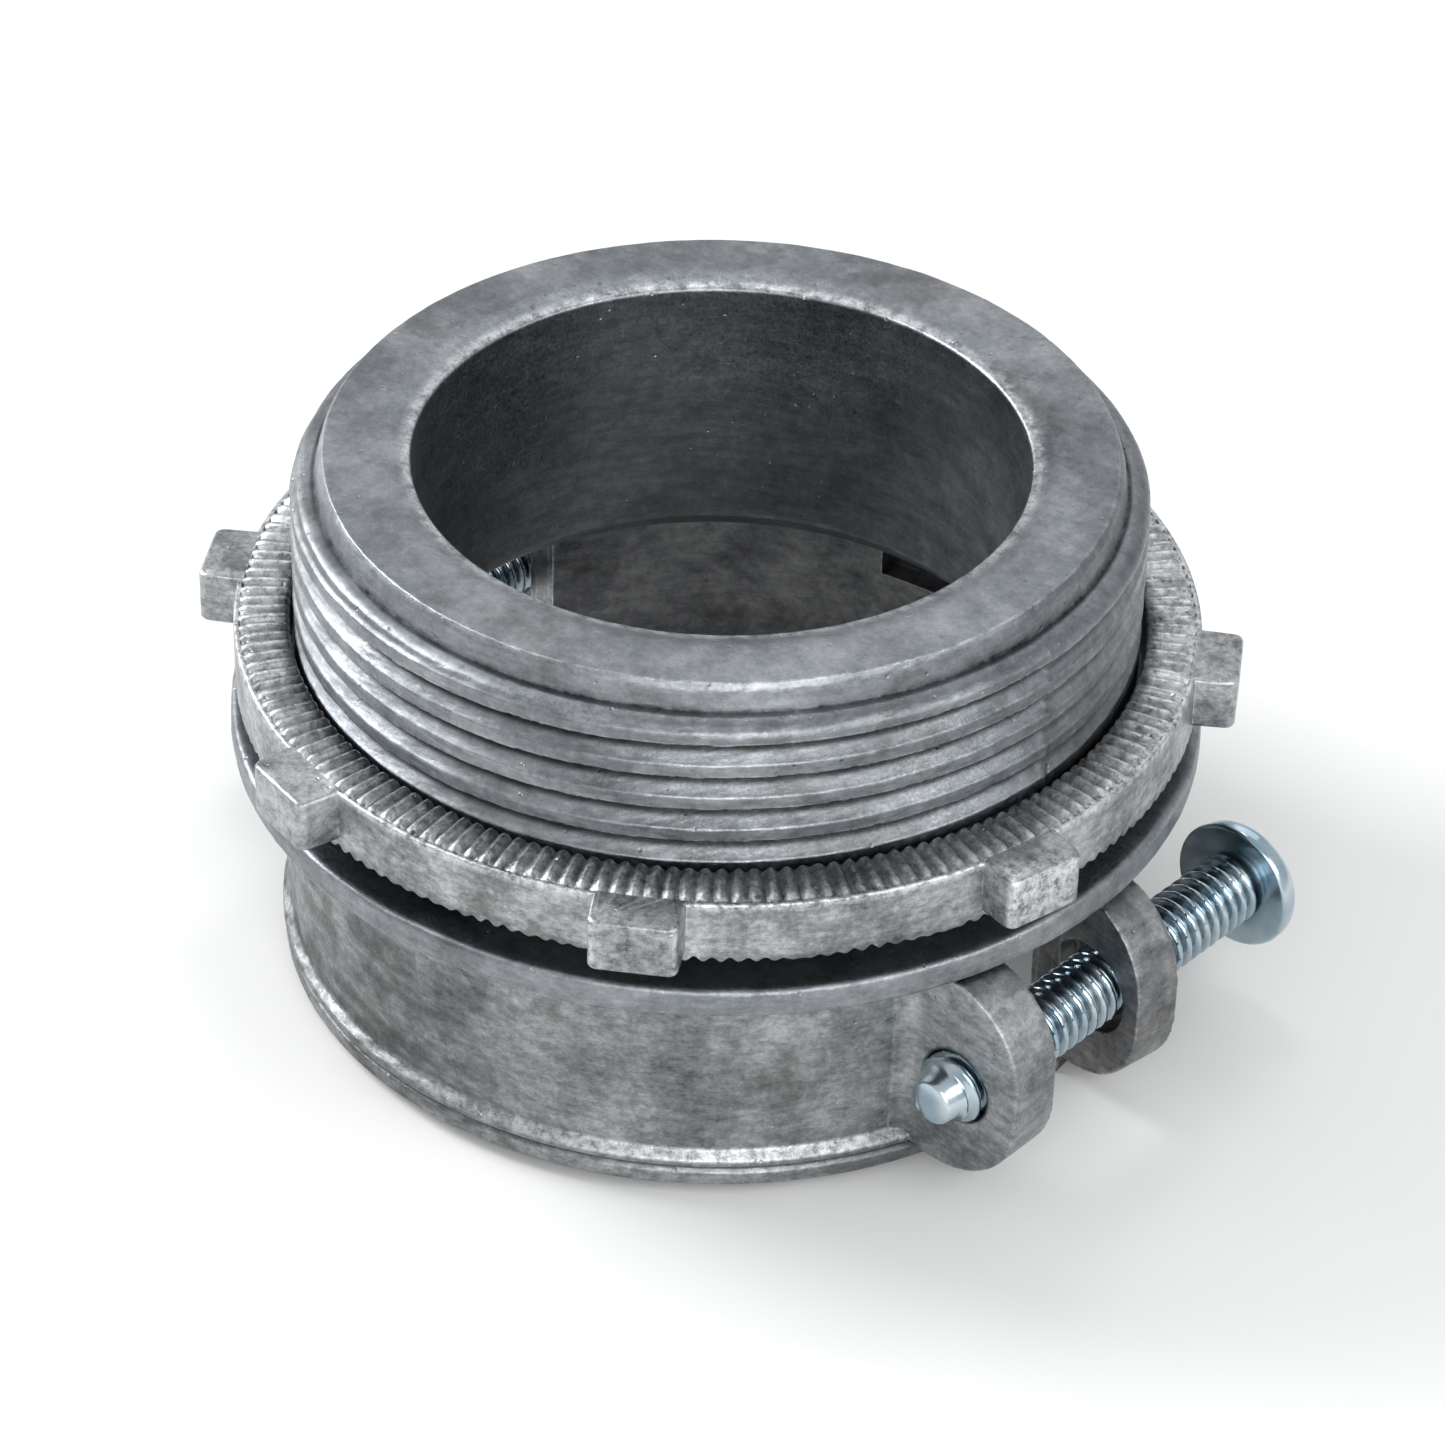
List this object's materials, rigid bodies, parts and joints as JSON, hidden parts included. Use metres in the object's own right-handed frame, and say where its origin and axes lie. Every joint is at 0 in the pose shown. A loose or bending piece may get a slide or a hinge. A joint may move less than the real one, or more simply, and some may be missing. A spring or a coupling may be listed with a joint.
{
  "type": "clamp connector for electrical knockouts",
  "caption": "Die-cast connector with a threaded nipple, lugged locknut and a two-screw split clamp that grips the cable or flexible conduit below the flange.",
  "frame": {"origin": "on the throat's axis, level with the flange's seating face", "axes": "+Z along the throat towards the threaded end, Y along the clamp screws with their heads at +Y, +X towards the right-hand ears"},
  "size_m": [0.0926, 0.089, 0.0499],
  "materials": {
    "cast_zinc_body": "as-cast zinc, mottled satin",
    "cast_zinc_locknut": "as-cast zinc, mottled satin",
    "cast_zinc_strap": "as-cast zinc, dull",
    "zinc_plated_steel": "clear-blue zinc plate, bright"
  },
  "bodies": {
    "connector_body": {"connector_body": "cast_zinc_body"},
    "locknut": {"locknut": "cast_zinc_locknut"},
    "clamp_strap": {"clamp_strap": "cast_zinc_strap"},
    "clamp_screw_right": {"clamp_screw_right": "zinc_plated_steel"},
    "clamp_screw_left": {"clamp_screw_left": "zinc_plated_steel"}
  },
  "joints": [
    {"name": "locknut_travel", "type": "slide", "parent": "connector_body", "child": "locknut", "axis": [0, 0, 1], "range_m": [-0.0025, 0.0222]},
    {"name": "strap_slide", "type": "slide", "parent": "connector_body", "child": "clamp_strap", "axis": [0, -1, 0], "range_m": [-0.002, 0.0115]},
    {"name": "screw_right_travel", "type": "slide", "parent": "clamp_strap", "child": "clamp_screw_right", "axis": [0, -1, 0], "range_m": [-0.004, 0.0092]},
    {"name": "screw_left_travel", "type": "slide", "parent": "clamp_strap", "child": "clamp_screw_left", "axis": [0, -1, 0], "range_m": [-0.004, 0.003]}
  ]
}
